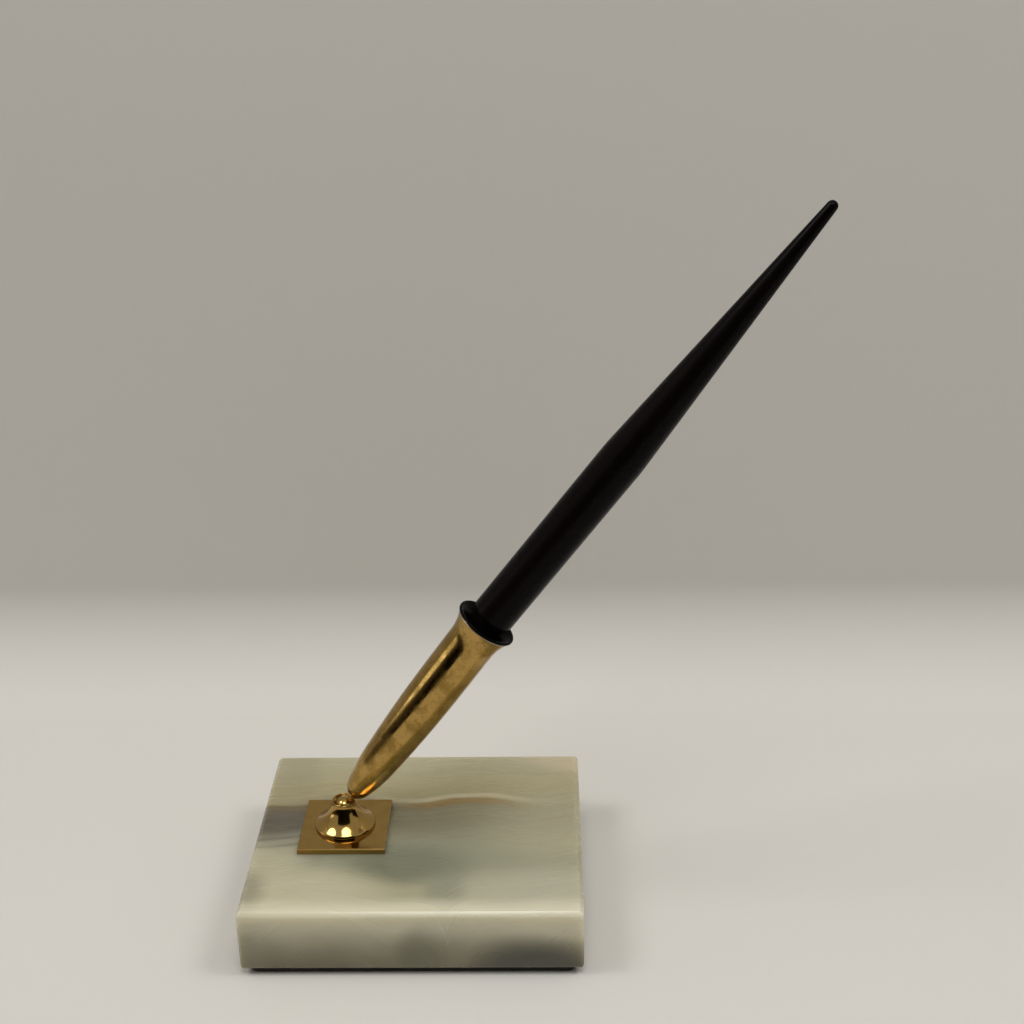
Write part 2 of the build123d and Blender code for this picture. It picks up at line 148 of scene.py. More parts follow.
def trumpet_axis():
    """The trumpet's own axis at rest."""
    lean = bpy.context.scene.pen_stand_sizes.trumpet_lean
    return Vector((math.sin(lean), 0, math.cos(lean)))


def node(tree, kind, links=None, stops=None, **settings):
    """Adds a node: settings are its properties, links its inputs by name or number, stops a ramp's colours."""
    made = tree.nodes.new(kind)
    for key, value in settings.items():
        setattr(made, key, value)
    for key, value in (links or {}).items():
        if isinstance(value, bpy.types.NodeSocket):
            tree.links.new(value, made.inputs[key])
        else:
            made.inputs[key].default_value = value
    if stops:
        ramp = made.color_ramp.elements
        while len(ramp) < len(stops):
            ramp.new(0.5)
        for element, (place, colour) in zip(ramp, stops):
            element.position = place
            element.color = opaque(colour)
    return made


def material(name):
    """An empty material with its output: gives the node tree and the output's surface socket."""
    made = bpy.data.materials.new(name)
    made.use_nodes = True
    made.node_tree.nodes.clear()
    output = node(made.node_tree, "ShaderNodeOutputMaterial")
    return made, made.node_tree, output.inputs["Surface"]


def in_millimetres(tree):
    """The piece's own coordinates, in millimetres."""
    place = node(tree, "ShaderNodeTexCoord").outputs["Object"]
    return node(
        tree, "ShaderNodeMapping", {"Vector": place, "Scale": (PER_METRE,) * 3}
    ).outputs["Vector"]


def onyx_material(finishes):
    """Sawn and polished banded onyx: soft cream and olive layers, cloudy patches, a stained vein, a waxy depth, and
    painted light and shade on the front face.
    """
    made, tree, surface = material("onyx_sawn_polished")
    stone = in_millimetres(tree)
    # Slow swirls, 22 mm wide, push the layers up to 4 mm out of line.
    swirl_width, push = 22, (4, 1.3, 3)
    swirl = node(
        tree, "ShaderNodeTexNoise", {"Vector": stone, "Scale": 1 / swirl_width, "Detail": 2.0, "Roughness": 0.4}
    )
    drift = node(
        tree, "ShaderNodeVectorMath",
        {0: swirl.outputs["Color"], 1: tuple(2 * p for p in push), 2: tuple(-p for p in push)},
        operation="MULTIPLY_ADD",
    )
    bent = node(tree, "ShaderNodeVectorMath", {0: stone, 1: drift.outputs[0]}, operation="ADD").outputs[0]
    axes = node(tree, "ShaderNodeSeparateXYZ", {0: bent}).outputs
    # The layers run along the slab in waves 34 mm long and dip towards the foot.
    wave_length, wave_start, wave_height, dip = 34, 12, 1.3, 0.3
    turn = node(
        tree, "ShaderNodeMath",
        {0: axes["X"], 1: math.tau / wave_length, 2: -wave_start * math.tau / wave_length}, operation="MULTIPLY_ADD",
    ).outputs[0]
    wave = node(tree, "ShaderNodeMath", {0: turn}, operation="COSINE").outputs[0]
    lifted = node(
        tree, "ShaderNodeMath", {0: wave, 1: -wave_height, 2: axes["Y"]}, operation="MULTIPLY_ADD"
    ).outputs[0]
    dipped = node(tree, "ShaderNodeMath", {0: axes["Z"], 1: dip, 2: lifted}, operation="MULTIPLY_ADD").outputs[0]
    # Two growths meet near the front in a V, where the layers turn down to the foot.
    valley_at, valley_width, valley_depth, valley_starts, valley_ends = 9.5, 6.5, 9.0, -6.0, -22.0
    beside = node(tree, "ShaderNodeMath", {0: axes["X"], 1: valley_at}, operation="SUBTRACT").outputs[0]
    apart = node(tree, "ShaderNodeMath", {0: beside}, operation="ABSOLUTE").outputs[0]
    fade = node(tree, "ShaderNodeMath", {0: apart, 1: -1 / valley_width}, operation="MULTIPLY").outputs[0]
    valley = node(tree, "ShaderNodeMath", {0: fade}, operation="EXPONENT").outputs[0]
    depth = node(
        tree, "ShaderNodeMapRange",
        {"Value": axes["Y"], "From Min": valley_starts, "From Max": valley_ends, "To Max": valley_depth},
        interpolation_type="SMOOTHSTEP",
    ).outputs["Result"]
    layer = node(
        tree, "ShaderNodeMath", {0: valley, 1: depth, 2: dipped}, operation="MULTIPLY_ADD"
    ).outputs[0]
    # Colours of the layers, by their height in the stack in millimetres.
    lowest, span = -40.0, 90.0
    height = node(
        tree, "ShaderNodeMapRange", {"Value": layer, "From Min": lowest, "From Max": lowest + span}
    ).outputs["Result"]
    layers = (
        (-36, "#A8A288"), (-26, "#ABA68C"), (-16, "#A29E84"), (-8, "#8C8C75"), (-2, "#8A8971"), (2.5, "#88856C"),
        (7, "#857F65"), (15.6, "#7E765A"), (17.4, "#8A8163"), (19, "#988F70"), (23, "#9F9672"), (27, "#A69D7B"),
        (35, "#ABA587"), (44, "#AFA990"),
    )
    # At the left end the layers under the vein are smoky, with a crisp upper edge.
    smoky = (
        (-9, "#A29E84"), (-3, "#9C9780"), (-1.9, "#98937C"), (-1.1, "#77735F"), (-0.4, "#8C8874"), (1.0, "#918D79"),
        (2.4, "#6F6B5B"), (3.4, "#7E7A68"), (4.6, "#6D6858"), (6, "#605A4C"), (10, "#5B5548"), (14, "#62594A"),
        (16.3, "#6A5E45"), (17.1, "#7A6C4C"), (17.7, "#968C6C"), (23, "#988F6F"), (35, "#A09A7F"),
    )
    clear, smoke = (
        node(
            tree, "ShaderNodeValToRGB", {"Fac": height},
            stops=[((place - lowest) / span, linear(code)) for place, code in stack],
        ).outputs["Color"]
        for stack in (layers, smoky)
    )
    smoke_starts, smoke_full = -24.0, -33.0
    left_end = node(
        tree, "ShaderNodeMapRange", {"Value": axes["X"], "From Min": smoke_starts, "From Max": smoke_full},
        interpolation_type="SMOOTHSTEP",
    ).outputs["Result"]
    colour = node(
        tree, "ShaderNodeMix", {"Factor": left_end, 6: clear, 7: smoke}, data_type="RGBA"
    ).outputs[2]
    # A cream vein with an iron stain under it, strongest right of the middle: colour, height in the stack, half
    # thickness, how far it is strong and how far it reaches along the slab in millimetres, strength.
    cream, amber = finishes.onyx_cream, finishes.onyx_amber
    vein_middle, vein_core = 11.0, 0.2
    off_middle = node(tree, "ShaderNodeMath", {0: axes["X"], 1: vein_middle}, operation="SUBTRACT").outputs[0]
    off = node(tree, "ShaderNodeMath", {0: off_middle}, operation="ABSOLUTE").outputs[0]
    for tone, level, thickness, near, far, strength in (
        (amber, 16.9, 2.4, 9.0, 19.0, 1.0), (cream, 19.3, 1.5, 8.0, 34.0, 0.85),
    ):
        above = node(tree, "ShaderNodeMath", {0: layer, 1: level}, operation="SUBTRACT").outputs[0]
        gap = node(tree, "ShaderNodeMath", {0: above}, operation="ABSOLUTE").outputs[0]
        body = node(
            tree, "ShaderNodeMapRange",
            {"Value": gap, "From Min": thickness, "From Max": vein_core, "To Max": strength},
            interpolation_type="SMOOTHSTEP",
        ).outputs["Result"]
        reach = node(
            tree, "ShaderNodeMapRange", {"Value": off, "From Min": far, "From Max": near},
            interpolation_type="SMOOTHSTEP",
        ).outputs["Result"]
        share = node(tree, "ShaderNodeMath", {0: body, 1: reach}, operation="MULTIPLY").outputs[0]
        colour = node(
            tree, "ShaderNodeMix", {"Factor": share, 6: colour, 7: opaque(tone)}, data_type="RGBA"
        ).outputs[2]
    # Cloudy patches, and on the front face bands that are partly painted light and shade: centre and reach in
    # millimetres, colour, strength, softness of the edge.
    patches = (
        ((-3, -15, 17), (14, 7, 11), "#72745F", 0.85, 0.55),
        ((39, 2, 18), (21, 16, 12), "#ABA58A", 0.8, 0.6),
        ((-39, -14, 18), (10, 6, 8), "#AEA88E", 0.8, 0.5),
        ((-26, -27, 18), (17, 9, 10), "#B9B297", 0.85, 0.5),
        ((-43, -27, 14), (8, 9, 14), "#8A846F", 0.75, 0.4),
        ((31, -27, 18), (18, 10, 9), "#B0AC96", 0.75, 0.55),
        ((9, -27, 15), (5, 9, 12), "#8A8A75", 0.65, 0.5),
        ((41, 34, 18), (15, 8, 12), "#BEB296", 0.85, 0.3),
        # Pale bands high on the front face and a wide dark band at its foot: partly the stone's own tone, partly
        # painted light and shade, lighter at the top where light glows through and darker towards the foot.
        ((0, -36, 19), (70, 6, 8), "#DCD6BE", 0.65, 0.5),
        ((38, -37, 15), (14, 8, 5), "#D2CCB4", 0.6, 0.5),
        ((0, -37, -5), (70, 8, 13), "#6B6349", 0.72, 0.5),
        ((2, -36, 4), (6, 8, 9), "#6B6A55", 0.6, 0.5),
        ((-24, -38, -1), (18, 8, 8), "#5B533E", 0.6, 0.5),
        ((29, -37, 0), (16, 10, 10.5), "#4D4D3F", 0.95, 0.35),
    )
    for centre, reach, code, strength, softness in patches:
        ball = node(
            tree, "ShaderNodeMapping",
            {"Vector": bent, "Location": tuple(-c / r for c, r in zip(centre, reach)),
             "Scale": tuple(1 / r for r in reach)},
        ).outputs["Vector"]
        far = node(tree, "ShaderNodeVectorMath", {0: ball}, operation="LENGTH").outputs["Value"]
        share = node(
            tree, "ShaderNodeMapRange",
            {"Value": far, "From Min": 1 + softness, "From Max": 1 - softness, "To Max": strength},
            interpolation_type="SMOOTHSTEP",
        ).outputs["Result"]
        colour = node(
            tree, "ShaderNodeMix", {"Factor": share, 6: colour, 7: opaque(linear(code))}, data_type="RGBA"
        ).outputs[2]
    # Growth lines about 1 mm thick and 60 mm long, clearest near the vein.
    line_reach, line_pitch, vein_level, vein_reach = (60, 90, 60), 2.2, 19.0, 16.0
    drawn = node(
        tree, "ShaderNodeVectorMath", {0: bent, 1: tuple(1 / reach for reach in line_reach)}, operation="MULTIPLY"
    ).outputs[0]
    stacked = node(tree, "ShaderNodeMath", {0: layer, 1: 1 / line_pitch}, operation="MULTIPLY").outputs[0]
    sheet = node(tree, "ShaderNodeCombineXYZ", {"Y": stacked}).outputs[0]
    along = node(tree, "ShaderNodeVectorMath", {0: drawn, 1: sheet}, operation="ADD").outputs[0]
    growth = node(
        tree, "ShaderNodeTexNoise", {"Vector": along, "Scale": 1.0, "Detail": 1.6, "Roughness": 0.5}
    ).outputs["Fac"]
    from_vein = node(tree, "ShaderNodeMath", {0: layer, 1: vein_level}, operation="SUBTRACT").outputs[0]
    away = node(tree, "ShaderNodeMath", {0: from_vein}, operation="ABSOLUTE").outputs[0]
    contrast = node(
        tree, "ShaderNodeMapRange", {"Value": away, "From Max": vein_reach, "To Min": 0.3, "To Max": 0.05}
    ).outputs["Result"]
    swing = node(tree, "ShaderNodeMath", {0: growth, 1: 0.5}, operation="SUBTRACT").outputs[0]
    shade = node(tree, "ShaderNodeMath", {0: swing, 1: contrast, 2: 1.0}, operation="MULTIPLY_ADD").outputs[0]
    colour = node(tree, "ShaderNodeVectorMath", {0: colour, 1: shade}, operation="MULTIPLY").outputs[0]
    # Pits and crystals, under 1 mm across and some 12 mm apart: radius where one starts and where it is full.
    grit_spacing, grit_edge, grit_core = 12, 0.6, 0.24
    grit = node(tree, "ShaderNodeTexVoronoi", {"Vector": stone, "Scale": 1 / grit_spacing})
    dot = node(
        tree, "ShaderNodeMapRange",
        {"Value": grit.outputs["Distance"], "From Min": grit_edge / grit_spacing,
         "From Max": grit_core / grit_spacing, "To Max": 0.5},
    ).outputs["Result"]
    kind = node(
        tree, "ShaderNodeValToRGB", {"Fac": grit.outputs["Color"]},
        stops=[(0.48, linear("#5A5542")), (0.52, cream)],
    ).outputs["Color"]
    colour = node(tree, "ShaderNodeMix", {"Factor": dot, 6: colour, 7: kind}, data_type="RGBA").outputs[2]
    # Polish varies a little with the hardness of the layers.
    gloss = node(
        tree, "ShaderNodeMapRange", {"Value": growth, "To Min": 0.2, "To Max": 0.34}
    ).outputs["Result"]
    grains_per_mm = 1.4
    grain = node(
        tree, "ShaderNodeTexNoise", {"Vector": stone, "Scale": grains_per_mm, "Detail": 4.0}
    ).outputs["Fac"]
    relief = node(
        tree, "ShaderNodeBump", {"Height": grain, "Strength": 0.05, "Distance": 0.05 * MM}
    ).outputs["Normal"]
    shader = node(
        tree, "ShaderNodeBsdfPrincipled",
        {"Base Color": colour, "Roughness": gloss, "Normal": relief, "IOR": 1.55, "Subsurface Weight": 0.7,
         "Subsurface Radius": (1.0, 0.9, 0.7), "Subsurface Scale": 8 * MM},
    )
    tree.links.new(shader.outputs["BSDF"], surface)
    return made


def gold_material(name, finishes, worn):
    """Brass, gold plated: a warm mirror, clouded by handling and freckled with olive tarnish where it is worn."""
    made, tree, surface = material(name)
    metal = in_millimetres(tree)
    cloud_width, freckle_width = 4.0, 0.7
    cloud = node(
        tree, "ShaderNodeTexNoise", {"Vector": metal, "Scale": 1 / cloud_width, "Detail": 3.0, "Roughness": 0.55}
    ).outputs["Fac"]
    freckle = node(
        tree, "ShaderNodeTexNoise", {"Vector": metal, "Scale": 1 / freckle_width, "Detail": 3.0, "Roughness": 0.6}
    ).outputs["Fac"]
    mottle = node(tree, "ShaderNodeMath", {0: freckle, 1: 0.6, 2: cloud}, operation="MULTIPLY_ADD").outputs[0]
    dulled = node(
        tree, "ShaderNodeMapRange", {"Value": mottle, "From Min": 0.62, "From Max": 1.0, "To Max": worn},
        interpolation_type="SMOOTHSTEP",
    ).outputs["Result"]
    colour = node(
        tree, "ShaderNodeMix", {"Factor": dulled, 6: opaque(finishes.gold), 7: opaque(finishes.tarnish)},
        data_type="RGBA",
    ).outputs[2]
    gloss = node(tree, "ShaderNodeMapRange", {"Value": dulled, "To Min": 0.1, "To Max": 0.22}).outputs["Result"]
    relief = node(
        tree, "ShaderNodeBump", {"Height": freckle, "Strength": 0.03, "Distance": 0.02 * MM}
    ).outputs["Normal"]
    shader = node(
        tree, "ShaderNodeBsdfPrincipled",
        {"Base Color": colour, "Roughness": gloss, "Metallic": 1.0, "Normal": relief},
    )
    tree.links.new(shader.outputs["BSDF"], surface)
    return made


def plastic_material(name, colour, worn, rough, rougher, spacing, shine):
    """Moulded plastic: one deep colour with faint flow marks, and gloss that handling has rubbed unevenly."""
    made, tree, surface = material(name)
    skin = in_millimetres(tree)
    scuffs_per_mm = 3.0
    flow = node(
        tree, "ShaderNodeTexNoise", {"Vector": skin, "Scale": 1 / spacing, "Detail": 4.0, "Roughness": 0.6}
    ).outputs["Fac"]
    tone = node(
        tree, "ShaderNodeMix", {"Factor": flow, 6: opaque(colour), 7: opaque(worn)}, data_type="RGBA"
    ).outputs[2]
    gloss = node(
        tree, "ShaderNodeMapRange",
        {"Value": flow, "From Min": 0.3, "From Max": 0.7, "To Min": rough, "To Max": rougher},
    ).outputs["Result"]
    scuff = node(
        tree, "ShaderNodeTexNoise", {"Vector": skin, "Scale": scuffs_per_mm, "Detail": 4.0}
    ).outputs["Fac"]
    relief = node(
        tree, "ShaderNodeBump", {"Height": scuff, "Strength": 0.08, "Distance": 0.03 * MM}
    ).outputs["Normal"]
    shader = node(
        tree, "ShaderNodeBsdfPrincipled",
        {"Base Color": tone, "Roughness": gloss, "Normal": relief, "IOR": 1.5, "Specular IOR Level": shine},
    )
    tree.links.new(shader.outputs["BSDF"], surface)
    return made


def metal_material(name, code, dull, rough, rougher):
    """Turned or stamped metal: fine tool marks and a slight uneven dulling."""
    made, tree, surface = material(name)
    skin = in_millimetres(tree)
    marks_per_mm = 0.9
    marks = node(
        tree, "ShaderNodeTexNoise", {"Vector": skin, "Scale": marks_per_mm, "Detail": 5.0, "Roughness": 0.65}
    ).outputs["Fac"]
    tone = node(
        tree, "ShaderNodeMix", {"Factor": marks, 6: opaque(linear(code)), 7: opaque(linear(dull))},
        data_type="RGBA",
    ).outputs[2]
    gloss = node(
        tree, "ShaderNodeMapRange", {"Value": marks, "To Min": rough, "To Max": rougher}
    ).outputs["Result"]
    shader = node(
        tree, "ShaderNodeBsdfPrincipled", {"Base Color": tone, "Roughness": gloss, "Metallic": 1.0}
    )
    tree.links.new(shader.outputs["BSDF"], surface)
    return made


def felt_material(finishes):
    """Pressed wool felt, dyed black: matted short fibres, no gloss, a faint pale bloom at a low angle."""
    made, tree, surface = material("felt_pressed_wool")
    cloth = in_millimetres(tree)
    fibres_per_mm = 2.5
    fibre = node(
        tree, "ShaderNodeTexNoise",
        {"Vector": cloth, "Scale": fibres_per_mm, "Detail": 6.0, "Roughness": 0.75, "Distortion": 1.5},
    ).outputs["Fac"]
    tone = node(
        tree, "ShaderNodeMix", {"Factor": fibre, 6: opaque(finishes.felt), 7: opaque(linear("#2B2926"))},
        data_type="RGBA",
    ).outputs[2]
    relief = node(
        tree, "ShaderNodeBump", {"Height": fibre, "Strength": 0.7, "Distance": 0.15 * MM}
    ).outputs["Normal"]
    shader = node(
        tree, "ShaderNodeBsdfPrincipled",
        {"Base Color": tone, "Roughness": 0.95, "Normal": relief, "Sheen Weight": 0.25, "Sheen Roughness": 0.5},
    )
    tree.links.new(shader.outputs["BSDF"], surface)
    return made


FINISHES = {}


def finish_named(slot):
    """The material of a slot of the record, of a worn place on its pieces, or of the rim's pale edge that is partly a
    painted highlight, made at its first use.
    """
    if slot in FINISHES:
        return FINISHES[slot]
    finishes = bpy.context.scene.pen_stand_finishes
    makers = {
        "onyx": lambda: onyx_material(finishes),
        "felt": lambda: felt_material(finishes),
        # Bell, stem and plate are seldom touched and stay bright.
        "gold_plated_brass": lambda: gold_material("brass_gold_plated", finishes, 0.35),
        # The trumpet is held each time it is turned, so its plate is dull and freckled all over.
        "handled_gold": lambda: gold_material("brass_gold_plated_handled", finishes, 1.0),
        # A thin pale line along the mouth's rolled edge: partly the nickel where the pen has rubbed the gold off,
        # partly a painted highlight in a pale metal.
        "rim_wear_and_painted_highlight": lambda: metal_material("nickel_rubbed_bare_and_painted_highlight", "#B4AC9B", "#94876A", 0.24, 0.38),
        # Inside the swivel: yellow brass as it left the lathe, with dull tool marks.
        "bare_brass": lambda: metal_material("brass_turned", "#B5965A", "#8C6F3C", 0.22, 0.42),
        # Bought nuts, washers and spring: a bluish grey sheen.
        "steel": lambda: metal_material("steel_zinc_plated", "#B4B5B6", "#8F9193", 0.25, 0.45),
        # The nib is the brightest gold of the set.
        "nib_metal": lambda: metal_material("steel_gold_plated", "#D9B568", "#B98F4B", 0.12, 0.26),
        # The liner is plain black, with a low gloss on its collar.
        "liner_plastic": lambda: plastic_material(
            "polystyrene_moulded", finishes.liner, linear("#080808"), 0.22, 0.34, 9.0, 0.04
        ),
        # The barrel is all but black with a trace of brown, polished and then rubbed by hands.
        "pen_plastic": lambda: plastic_material(
            "acrylic_turned_polished", finishes.barrel, linear("#0B0605"), 0.2, 0.32, 14.0, 0.06
        ),
        # The cartridge is waxy and coloured by the ink in it.
        "cartridge_plastic": lambda: plastic_material(
            "polyethylene_moulded", linear("#28304A"), linear("#1C2236"), 0.35, 0.5, 6.0, 0.5
        ),
    }
    FINISHES[slot] = makers[slot]()
    return FINISHES[slot]


def start_edit(piece):
    """Makes a piece the only selected object and goes into edit mode with nothing selected."""
    bpy.ops.object.select_all(action="DESELECT")
    piece.select_set(True)
    bpy.context.view_layer.objects.active = piece
    bpy.ops.object.mode_set(mode="EDIT")
    bpy.ops.mesh.select_all(action="DESELECT")


def pick(piece, kind, wanted):
    """Selects the vertices or edges of a piece in edit mode that a test wants, and gives their number."""
    bpy.ops.mesh.select_all(action="DESELECT")
    bpy.ops.mesh.select_mode(type=kind)
    mesh = bmesh.from_edit_mesh(piece.data)
    chosen = [part for part in {"VERT": mesh.verts, "EDGE": mesh.edges}[kind] if wanted(part)]
    for part in chosen:
        part.select_set(True)
    mesh.select_flush_mode()
    bmesh.update_edit_mesh(piece.data)
    return len(chosen)


def bevel(piece, wanted, **settings):
    """Bevels the edges of a piece in edit mode that a test wants."""
    if not pick(piece, "EDGE", wanted):
        raise RuntimeError(f"{piece.name} has no edge to bevel")
    bpy.ops.mesh.bevel(profile=0.5, affect="EDGES", **settings)


def end_edit():
    """Goes back to object mode."""
    bpy.ops.object.mode_set(mode="OBJECT")


def block(name, low, high):
    """A cube primitive at its size and place, with its place applied to its mesh."""
    bpy.ops.object.select_all(action="DESELECT")
    bpy.ops.mesh.primitive_cube_add(size=1, location=(low + high) / 2)
    piece = bpy.context.object
    piece.name = piece.data.name = name
    piece.scale = high - low
    bpy.ops.object.transform_apply(location=True, rotation=True, scale=True)
    return piece


def drill(piece, centre, radius, bottom, top):
    """Cuts a round upright hole into a piece with a cylinder."""
    solid = len(piece.data.polygons)
    bpy.ops.object.select_all(action="DESELECT")
    bpy.ops.mesh.primitive_cylinder_add(
        vertices=HOLE_FACES, radius=radius, depth=top - bottom, location=(centre.x, centre.y, (top + bottom) / 2)
    )
    cutter = bpy.context.object
    bpy.context.view_layer.objects.active = piece
    cut = piece.modifiers.new("Drill", "BOOLEAN")
    cut.object = cutter
    cut.operation = "DIFFERENCE"
    cut.solver = "EXACT"
    bpy.ops.object.modifier_apply(modifier=cut.name)
    bpy.data.objects.remove(cutter)
    if len(piece.data.polygons) < solid + HOLE_FACES:
        raise RuntimeError(f"{piece.name} was not drilled")


def smooth(piece, degrees):
    """Shades a piece smooth, with edges sharper than the angle kept."""
    bpy.ops.object.select_all(action="DESELECT")
    piece.select_set(True)
    bpy.context.view_layer.objects.active = piece
    bpy.ops.object.shade_smooth_by_angle(angle=math.radians(degrees))


def turned(name, source, point, axis):
    """Takes the half section along a packed round piece's seam and spins it into an even turned skin."""
    steps = bpy.context.scene.pen_stand_sizes.turning_steps
    side = Vector((axis.z, 0, -axis.x))
    mesh = frame["nodes"][source].data.copy()
    mesh.name = name
    mesh.materials.clear()
    piece = bpy.data.objects.new(name, mesh)
    bpy.context.scene.collection.objects.link(piece)
    start_edit(piece)
    bpy.ops.mesh.select_all(action="SELECT")
    bpy.ops.mesh.customdata_custom_splitnormals_clear()
    bpy.ops.mesh.remove_doubles(threshold=MERGE)
    pick(piece, "VERT", lambda v: abs(v.co.y) > ON_PLANE or (v.co - point).dot(side) < -ON_PLANE)
    bpy.ops.mesh.delete(type="VERT")
    bpy.ops.mesh.select_all(action="SELECT")
    bpy.ops.mesh.spin(steps=steps, angle=math.tau, center=point, axis=axis)
    bpy.ops.mesh.select_all(action="SELECT")
    bpy.ops.mesh.remove_doubles(threshold=2 * ON_PLANE)
    pick(piece, "EDGE", lambda e: e.is_boundary)
    bpy.ops.mesh.fill_holes(sides=0)
    bpy.ops.mesh.select_all(action="SELECT")
    bpy.ops.mesh.normals_make_consistent(inside=False)
    end_edit()
    if not piece.data.polygons:
        raise RuntimeError(f"{source} has no section to spin")
    smooth(piece, TURNED_ANGLE)
    return piece


def place(piece, body, slot, *nodes):
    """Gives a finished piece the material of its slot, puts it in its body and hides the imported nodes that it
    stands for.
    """
    if not piece.data.materials:
        piece.data.materials.append(finish_named(slot))
    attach(piece, body)
    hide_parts(*nodes)


def dress(*nodes):
    """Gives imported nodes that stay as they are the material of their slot."""
    slots = {part["node"]: part["material_slot"] for part in frame["record"]["subparts"]}
    for name in nodes:
        frame["nodes"][name].material_slots[0].material = finish_named(slots[name])


class PENSTAND_OT_slab(bpy.types.Operator):
    """Cut the onyx slab: flat top bevel, rounded foot, bevelled corners, soft arrises, counterbored for the swivel"""

    bl_idname = "pen_stand.slab"
    bl_label = "Onyx Slab"

    def execute(self, context):
        sizes = context.scene.pen_stand_sizes
        low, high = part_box("onyx_base")
        slab = block("onyx_slab", low, high)
        start_edit(slab)
        flat, rounded, softened, sharp = 1, 8, 3, math.radians(20)
        for height, offset, segments in ((high.z, sizes.top_bevel, flat), (low.z, sizes.foot_round, rounded)):
            bevel(
                slab, lambda e: all(abs(v.co.z - height) < ON_PLANE for v in e.verts),
                offset=offset, segments=segments,
            )
        for x, y in ((1, 1), (1, -1), (-1, 1), (-1, -1)):
            corner = Vector((x * high.x, y * high.y - y * sizes.corner_bevel, 0))
            bpy.ops.mesh.select_all(action="SELECT")
            bpy.ops.mesh.bisect(
                plane_co=corner, plane_no=Vector((x, y, 0)).normalized(), use_fill=True, clear_outer=True
            )
        end_edit()
        soften = slab.modifiers.new("Arrises", "BEVEL")
        soften.width = sizes.arris
        soften.segments = softened
        soften.limit_method = "ANGLE"
        soften.angle_limit = sharp
        bpy.ops.object.modifier_apply(modifier=soften.name)
        washer_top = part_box("clamp_washer")[1].z
        drill(slab, BALL, sizes.counterbore, low.z - sizes.arris, washer_top)
        drill(slab, BALL, sizes.stud_hole, washer_top - sizes.arris, high.z + sizes.arris)
        smooth(slab, SLAB_ANGLE)
        place(slab, "base", "onyx", "onyx_base")
        return {"FINISHED"}


class PENSTAND_OT_pad(bpy.types.Operator):
    """Cut the felt pad that is glued under the slab"""

    bl_idname = "pen_stand.pad"
    bl_label = "Felt Pad"

    def execute(self, context):
        sizes = context.scene.pen_stand_sizes
        low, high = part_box("felt_pad")
        half = (high - low) / 2
        columns, rows, cut_angle, frays_per_mm = 96, 80, 1.0, 0.6
        bpy.ops.object.select_all(action="DESELECT")
        bpy.ops.mesh.primitive_grid_add(
            x_subdivisions=columns, y_subdivisions=rows, size=2, location=(0, 0, low.z)
        )
        pad = bpy.context.object
        pad.name = pad.data.name = "felt_sheet"
        pad.scale = (half.x, half.y, 1)
        bpy.ops.object.transform_apply(location=True, rotation=True, scale=True)
        # The grid's corners are drawn in to the pad's round ones.
        corner = Vector((half.x - sizes.felt_corner, half.y - sizes.felt_corner))
        for vertex in pad.data.vertices:
            past = Vector((abs(vertex.co.x) - corner.x, abs(vertex.co.y) - corner.y))
            if min(past) > 0:
                past *= max(past) / past.length
                vertex.co.x = math.copysign(corner.x + past.x, vertex.co.x)
                vertex.co.y = math.copysign(corner.y + past.y, vertex.co.y)
        start_edit(pad)
        bpy.ops.mesh.select_all(action="SELECT")
        bpy.ops.mesh.extrude_region_move(TRANSFORM_OT_translate={"value": (0, 0, high.z - low.z)})
        bpy.ops.mesh.select_all(action="SELECT")
        bpy.ops.mesh.normals_make_consistent(inside=False)
        bevel(pad, lambda e: e.calc_face_angle(0) > cut_angle, offset=sizes.felt_edge, segments=2)
        end_edit()
        # The cut edge wanders inwards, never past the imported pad.
        for vertex in pad.data.vertices:
            out = Vector((vertex.co.x / half.x, vertex.co.y / half.y))
            if max(abs(out.x), abs(out.y)) > 1 - sizes.felt_edge / half.y:
                pull = noise.noise(vertex.co * PER_METRE * frays_per_mm) * sizes.felt_fray - sizes.felt_fray
                vertex.co.xy += vertex.co.xy.normalized() * pull
        smooth(pad, FELT_ANGLE)
        place(pad, "base", "felt", "felt_pad")
        return {"FINISHED"}


class PENSTAND_OT_swivel(bpy.types.Operator):
    """Turn the bell socket and the ball stem, and plate them with the square plate"""

    bl_idname = "pen_stand.swivel"
    bl_label = "Ball Swivel"

    def execute(self, context):
        bell = turned("bell_turned", "bell_socket", BALL, UPRIGHT)
        place(bell, "base", "gold_plated_brass", "bell_socket")
        stem = turned("stem_turned", "ball_stem", BALL, trumpet_axis())
        place(stem, "holder", "gold_plated_brass", "ball_stem")
        dress("square_plate")
        return {"FINISHED"}


class PENSTAND_OT_trumpet(bpy.types.Operator):
    """Spin the gold-plated trumpet and its black plastic liner"""

    bl_idname = "pen_stand.trumpet"
    bl_label = "Trumpet and Liner"

    def execute(self, context):
        sizes = context.scene.pen_stand_sizes
        axis = trumpet_axis()
        shell = turned("trumpet_spun", "trumpet_shell", BALL, axis)
        rim = max((v.co - BALL).cross(axis).length for v in shell.data.vertices)
        for finish in ("handled_gold", "rim_wear_and_painted_highlight"):
            shell.data.materials.append(finish_named(finish))
        # The rolled edge of the mouth gets the pale metal: partly rubbed plating, partly a painted highlight.
        worn = 1
        start_edit(shell)
        bevel(
            shell, lambda e: all((v.co - BALL).cross(axis).length > rim - ON_PLANE for v in e.verts),
            offset=sizes.rim_round, segments=5, material=worn,
        )
        end_edit()
        smooth(shell, TURNED_ANGLE)
        place(shell, "holder", "gold_plated_brass", "trumpet_shell")
        liner = turned("liner_moulded", "trumpet_liner", BALL, axis)
        place(liner, "holder", "liner_plastic", "trumpet_liner")
        return {"FINISHED"}


